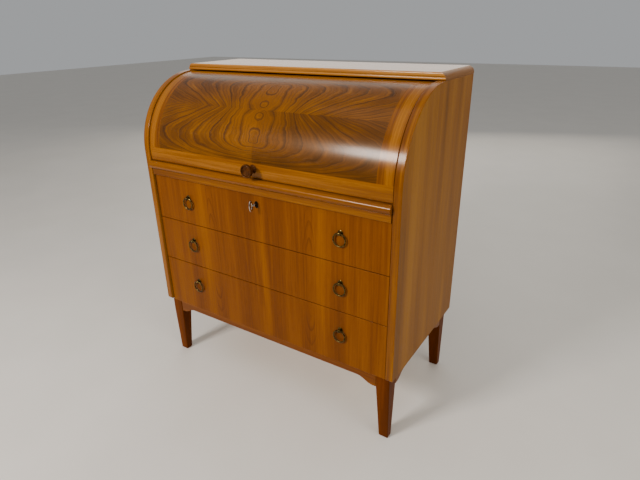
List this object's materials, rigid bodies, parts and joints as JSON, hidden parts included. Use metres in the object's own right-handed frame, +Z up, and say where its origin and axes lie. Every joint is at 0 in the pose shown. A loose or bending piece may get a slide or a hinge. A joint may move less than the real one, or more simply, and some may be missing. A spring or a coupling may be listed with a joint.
{
  "type": "roll top desk",
  "caption": "Cylinder roll top writing desk: a rigid curved lid over pigeonholes, a pull-out writing slide and full-width drawers with ring pulls, on tapered legs.",
  "frame": {"origin": "on the floor, at the centre of the bounding box seen from above", "axes": "+Z up; the drawer fronts face -Y; +X is to the right of a person facing the front"},
  "size_m": [0.9, 0.4936, 1.02],
  "materials": {
    "teak_carcass": "satin oiled teak veneer with solid edge strips",
    "teak_fronts": "satin book-matched teak veneer, grain upright",
    "figured_veneer": "gloss four-way matched figured veneer with crossbanded borders",
    "dark_legs": "satin solid hardwood",
    "turned_walnut": "polished turned wood",
    "drawer_linings": "plain pale lining wood",
    "back_board": "matte thin board",
    "antique_brass": "darkened brass",
    "bright_steel": "nickelled steel"
  },
  "bodies": {
    "carcass": {"side_panel_left": "teak_carcass", "side_panel_right": "teak_carcass", "top_board": "teak_carcass", "back_panel": "back_board", "bottom_board": "drawer_linings", "front_rail": "teak_carcass", "front_apron": "teak_carcass", "back_apron": "teak_carcass", "side_apron_left": "teak_carcass", "side_apron_right": "teak_carcass", "leg_front_left": "dark_legs", "leg_front_right": "dark_legs", "leg_back_left": "dark_legs", "leg_back_right": "dark_legs", "runner_1_left": "drawer_linings", "runner_1_right": "drawer_linings", "runner_2_left": "drawer_linings", "runner_2_right": "drawer_linings", "slide_bearer_left": "drawer_linings", "slide_bearer_right": "drawer_linings", "fitment_base": "teak_carcass", "fitment_top": "teak_carcass", "fitment_back": "back_board", "fitment_side_left": "teak_carcass", "fitment_side_right": "teak_carcass", "fitment_divider_left": "teak_carcass", "fitment_divider_right": "teak_carcass", "fitment_shelf_left": "teak_carcass", "fitment_shelf_right": "teak_carcass"},
    "roll_top": {"roll_shell": "figured_veneer", "roll_arm_left": "bright_steel", "roll_arm_right": "bright_steel", "roll_knob": "turned_walnut"},
    "writing_slide": {"writing_board": "teak_fronts", "slide_moulding": "teak_carcass"},
    "drawer_1": {"drawer_1_front": "teak_fronts", "drawer_1_box": "drawer_linings", "pull_eye_1_left": "antique_brass", "pull_eye_1_right": "antique_brass", "lock_case": "antique_brass"},
    "drawer_2": {"drawer_2_front": "teak_fronts", "drawer_2_box": "drawer_linings", "pull_eye_2_left": "antique_brass", "pull_eye_2_right": "antique_brass"},
    "drawer_3": {"drawer_3_front": "teak_fronts", "drawer_3_box": "drawer_linings", "pull_eye_3_left": "antique_brass", "pull_eye_3_right": "antique_brass"},
    "ring_1_left": {"pull_ring_1_left": "antique_brass"},
    "ring_1_right": {"pull_ring_1_right": "antique_brass"},
    "ring_2_left": {"pull_ring_2_left": "antique_brass"},
    "ring_2_right": {"pull_ring_2_right": "antique_brass"},
    "ring_3_left": {"pull_ring_3_left": "antique_brass"},
    "ring_3_right": {"pull_ring_3_right": "antique_brass"},
    "key": {"key": "bright_steel"},
    "lock_bolt": {"lock_bolt": "antique_brass"},
    "small_drawer_left": {"inner_drawer_left": "teak_fronts", "inner_knob_left": "turned_walnut"},
    "small_drawer_right": {"inner_drawer_right": "teak_fronts", "inner_knob_right": "turned_walnut"}
  },
  "joints": [
    {"name": "roll_top_hinge", "type": "hinge", "parent": "carcass", "child": "roll_top", "pos_m": [0, 0.0138, 0.769], "axis": [-1, 0, 0], "range_deg": [0, 84]},
    {"name": "writing_slide_rail", "type": "slide", "parent": "carcass", "child": "writing_slide", "axis": [0, -1, 0], "range_m": [0, 0.22]},
    {"name": "drawer_1_slide", "type": "slide", "parent": "carcass", "child": "drawer_1", "axis": [0, -1, 0], "range_m": [0, 0.3]},
    {"name": "drawer_2_slide", "type": "slide", "parent": "carcass", "child": "drawer_2", "axis": [0, -1, 0], "range_m": [0, 0.3]},
    {"name": "drawer_3_slide", "type": "slide", "parent": "carcass", "child": "drawer_3", "axis": [0, -1, 0], "range_m": [0, 0.3]},
    {"name": "ring_1_left_swing", "type": "hinge", "parent": "drawer_1", "child": "ring_1_left", "pos_m": [-0.28, -0.2167, 0.6353], "axis": [-1, 0, 0], "range_deg": [0, 85]},
    {"name": "ring_1_right_swing", "type": "hinge", "parent": "drawer_1", "child": "ring_1_right", "pos_m": [0.28, -0.2167, 0.6353], "axis": [-1, 0, 0], "range_deg": [0, 85]},
    {"name": "ring_2_left_swing", "type": "hinge", "parent": "drawer_2", "child": "ring_2_left", "pos_m": [-0.28, -0.2167, 0.4873], "axis": [-1, 0, 0], "range_deg": [0, 85]},
    {"name": "ring_2_right_swing", "type": "hinge", "parent": "drawer_2", "child": "ring_2_right", "pos_m": [0.28, -0.2167, 0.4873], "axis": [-1, 0, 0], "range_deg": [0, 85]},
    {"name": "ring_3_left_swing", "type": "hinge", "parent": "drawer_3", "child": "ring_3_left", "pos_m": [-0.28, -0.2167, 0.3353], "axis": [-1, 0, 0], "range_deg": [0, 85]},
    {"name": "ring_3_right_swing", "type": "hinge", "parent": "drawer_3", "child": "ring_3_right", "pos_m": [0.28, -0.2167, 0.3353], "axis": [-1, 0, 0], "range_deg": [0, 85]},
    {"name": "key_turn", "type": "hinge", "parent": "drawer_1", "child": "key", "pos_m": [0, -0.2122, 0.665], "axis": [0, 1, 0], "range_deg": [0, 90]},
    {"name": "lock_bolt_throw", "type": "slide", "parent": "drawer_1", "child": "lock_bolt", "axis": [0, 0, 1], "range_m": [0, 0.0072]},
    {"name": "small_drawer_left_slide", "type": "slide", "parent": "carcass", "child": "small_drawer_left", "axis": [0, -1, 0], "range_m": [0, 0.12]},
    {"name": "small_drawer_right_slide", "type": "slide", "parent": "carcass", "child": "small_drawer_right", "axis": [0, -1, 0], "range_m": [0, 0.12]}
  ],
  "couplings": [
    {"joint": "lock_bolt_throw", "follows": "key_turn", "m_per_rad": 0.004456}
  ]
}
